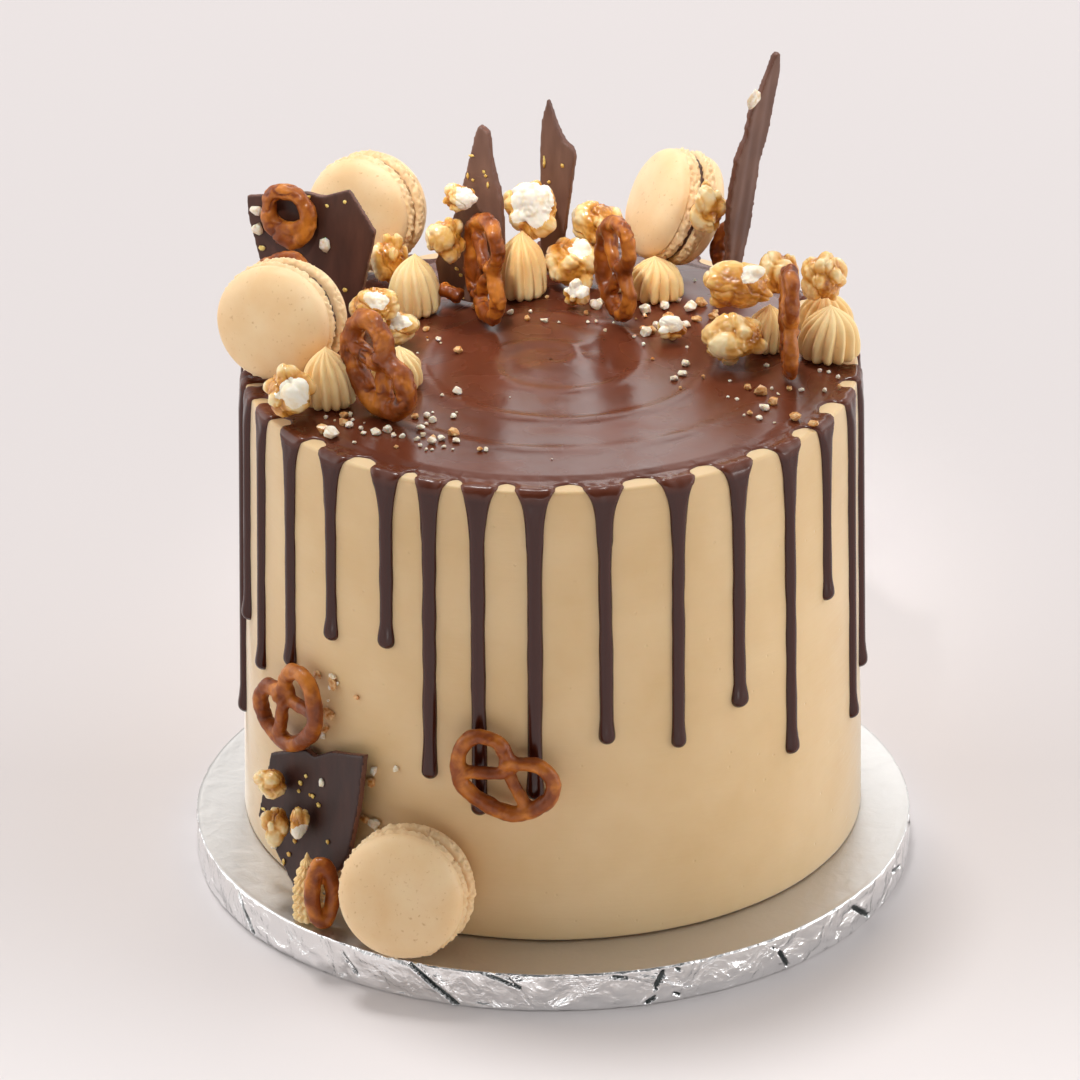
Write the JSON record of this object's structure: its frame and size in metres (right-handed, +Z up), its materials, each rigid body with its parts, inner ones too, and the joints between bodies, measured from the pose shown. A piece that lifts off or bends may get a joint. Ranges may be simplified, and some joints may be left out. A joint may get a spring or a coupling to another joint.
{
  "type": "chocolate caramel drip cake",
  "caption": "Tall round buttercream cake with chocolate ganache drips, topped with macarons, pretzels, caramel popcorn, piped kisses and chocolate shards, on a foil cake board.",
  "frame": {"origin": "centre of the cake board's underside", "axes": "+Z up, the front of the cake faces -Y, +X to the right seen from the front"},
  "size_m": [0.254, 0.254, 0.2775],
  "materials": {
    "foil": "crinkled foil",
    "buttercream": "smooth satin",
    "ganache": "gloss",
    "macaron": "matt",
    "filling": "satin",
    "chocolate": "satin",
    "pretzel": "baked gloss",
    "popcorn": "caramel gloss"
  },
  "bodies": {
    "root": {"board": "foil", "cake": "buttercream", "ganache": "ganache", "macaron_left_shell_front": "macaron", "macaron_left_filling": "filling", "macaron_left_shell_back": "macaron", "macaron_back_shell_front": "macaron", "macaron_back_filling": "filling", "macaron_back_shell_back": "macaron", "macaron_right_shell_front": "macaron", "macaron_right_filling": "filling", "macaron_right_shell_back": "macaron", "macaron_side_shell_front": "macaron", "macaron_side_filling": "filling", "macaron_side_shell_back": "macaron", "shard_left": "chocolate", "shard_middle": "chocolate", "shard_centre": "chocolate", "shard_right": "chocolate", "shard_side": "chocolate", "pretzel_left": "pretzel", "pretzel_behind": "pretzel", "pretzel_middle": "pretzel", "pretzel_centre": "pretzel", "pretzel_right": "pretzel", "pretzel_side_high": "pretzel", "pretzel_front": "pretzel", "pretzel_on_shard": "pretzel", "pretzel_back": "pretzel", "pretzel_side_low": "pretzel", "pretzel_stub": "pretzel", "kiss_left": "buttercream", "kiss_left_inner": "buttercream", "kiss_back_left": "buttercream", "kiss_middle": "buttercream", "kiss_centre": "buttercream", "kiss_right": "buttercream", "kiss_right_inner": "buttercream", "kiss_right_back": "buttercream", "kiss_side": "buttercream", "popcorn_left": "popcorn", "popcorn_clump_low": "popcorn", "popcorn_clump_high": "popcorn", "popcorn_back_left": "popcorn", "popcorn_ring": "popcorn", "popcorn_top": "popcorn", "popcorn_white": "popcorn", "popcorn_middle": "popcorn", "popcorn_behind": "popcorn", "popcorn_beside": "popcorn", "popcorn_right_high": "popcorn", "popcorn_right_low": "popcorn", "popcorn_right_back": "popcorn", "popcorn_far_right": "popcorn", "popcorn_flake": "popcorn", "popcorn_flake_right": "popcorn", "popcorn_side_a": "popcorn", "popcorn_side_b": "popcorn", "popcorn_side_c": "popcorn"}
  },
  "joints": []
}
